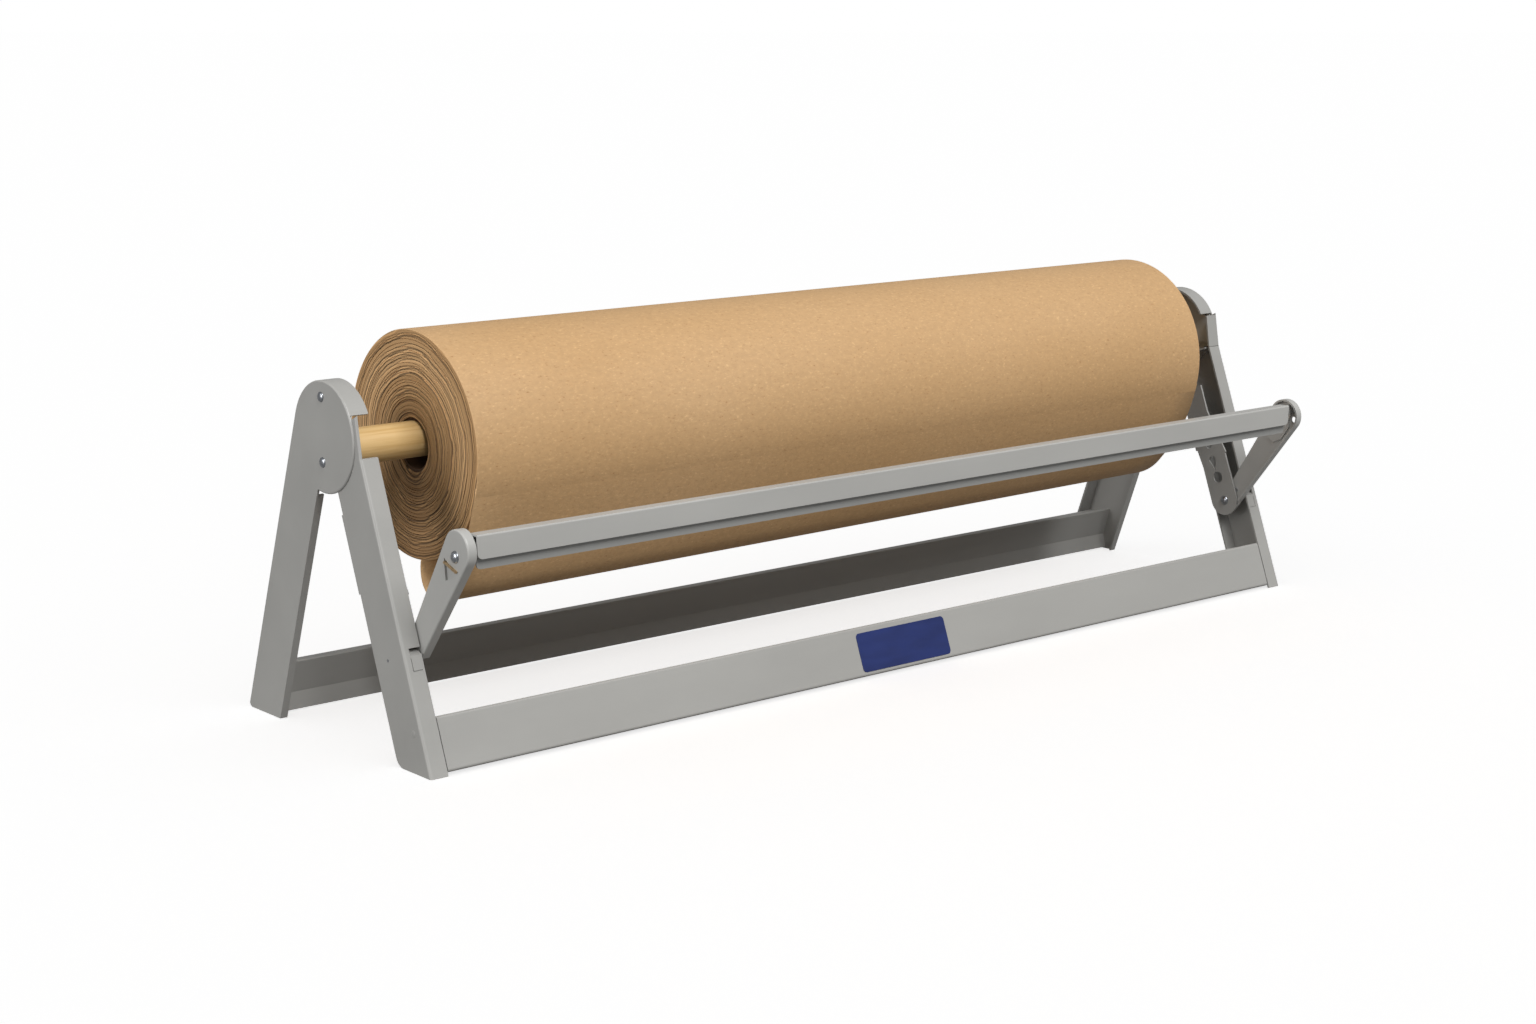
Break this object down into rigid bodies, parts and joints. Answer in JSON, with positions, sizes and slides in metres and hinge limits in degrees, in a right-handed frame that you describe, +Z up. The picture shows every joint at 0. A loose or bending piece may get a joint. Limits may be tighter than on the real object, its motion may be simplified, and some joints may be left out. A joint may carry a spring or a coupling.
{
  "type": "paper roll dispenser and cutter",
  "caption": "Table-top steel dispenser for a wide roll of wrapping paper: A-shaped end frames, a wooden dowel, and a cutter bar on two swinging arms.",
  "frame": {"origin": "on the table, below the middle of the whole dispenser's box, midway between the end frames", "axes": "+X along the roll, +Y from the cutter side to the rear, +Z up"},
  "size_m": [1.092, 0.3293, 0.3472],
  "materials": {
    "frame_paint": "satin",
    "cutter_paint": "satin",
    "blade_steel": "satin",
    "rivet_steel": "polished",
    "brass_wire": "satin",
    "beech": "bare",
    "core_card": "matte",
    "kraft_paper": "matte",
    "label_blue": "satin"
  },
  "bodies": {
    "frame": {"crossbar_rivet_left": "frame_paint", "crossbar_rivet_right": "frame_paint", "dowel_saddle_left": "frame_paint", "dowel_saddle_right": "frame_paint", "front_crossbar": "frame_paint", "front_leg_left": "frame_paint", "front_leg_right": "frame_paint", "head_rivets_left": "rivet_steel", "head_rivets_right": "rivet_steel", "label_plate": "label_blue", "pivot_pin_left": "rivet_steel", "pivot_pin_right": "rivet_steel", "pivot_spacer_left": "rivet_steel", "pivot_spacer_right": "rivet_steel", "pivot_strap_left": "frame_paint", "pivot_strap_right": "frame_paint", "pivot_washer_left": "rivet_steel", "pivot_washer_right": "rivet_steel", "rear_crossbar": "frame_paint", "rear_leg_left": "frame_paint", "rear_leg_right": "frame_paint", "slot_keeper_right": "frame_paint"},
    "cutter": {"arm_eyelet_left": "rivet_steel", "arm_eyelet_right": "rivet_steel", "bar_clip_left": "brass_wire", "bar_clip_right": "brass_wire", "bar_rivet_left": "rivet_steel", "bar_rivet_right": "rivet_steel", "blade_rivets": "rivet_steel", "cutter_arm_left": "cutter_paint", "cutter_arm_right": "cutter_paint", "cutter_bar": "cutter_paint", "cutter_blade": "blade_steel"},
    "dowel": {"dowel": "beech"},
    "roll": {"roll_core": "core_card", "paper_roll": "kraft_paper", "paper_tail": "kraft_paper"}
  },
  "joints": [
    {"name": "cutter_pivot", "type": "hinge", "parent": "frame", "child": "cutter", "pos_m": [0, -0.06893, 0.08831], "axis": [-1, 0, 0], "range_deg": [0, 28]},
    {"name": "dowel_spin", "type": "hinge", "parent": "frame", "child": "dowel", "pos_m": [0, 0.0198, 0.2525], "axis": [1, 0, 0], "continuous": true},
    {"name": "roll_spin", "type": "hinge", "parent": "frame", "child": "roll", "pos_m": [0, 0.0198, 0.24718], "axis": [1, 0, 0], "continuous": true}
  ]
}
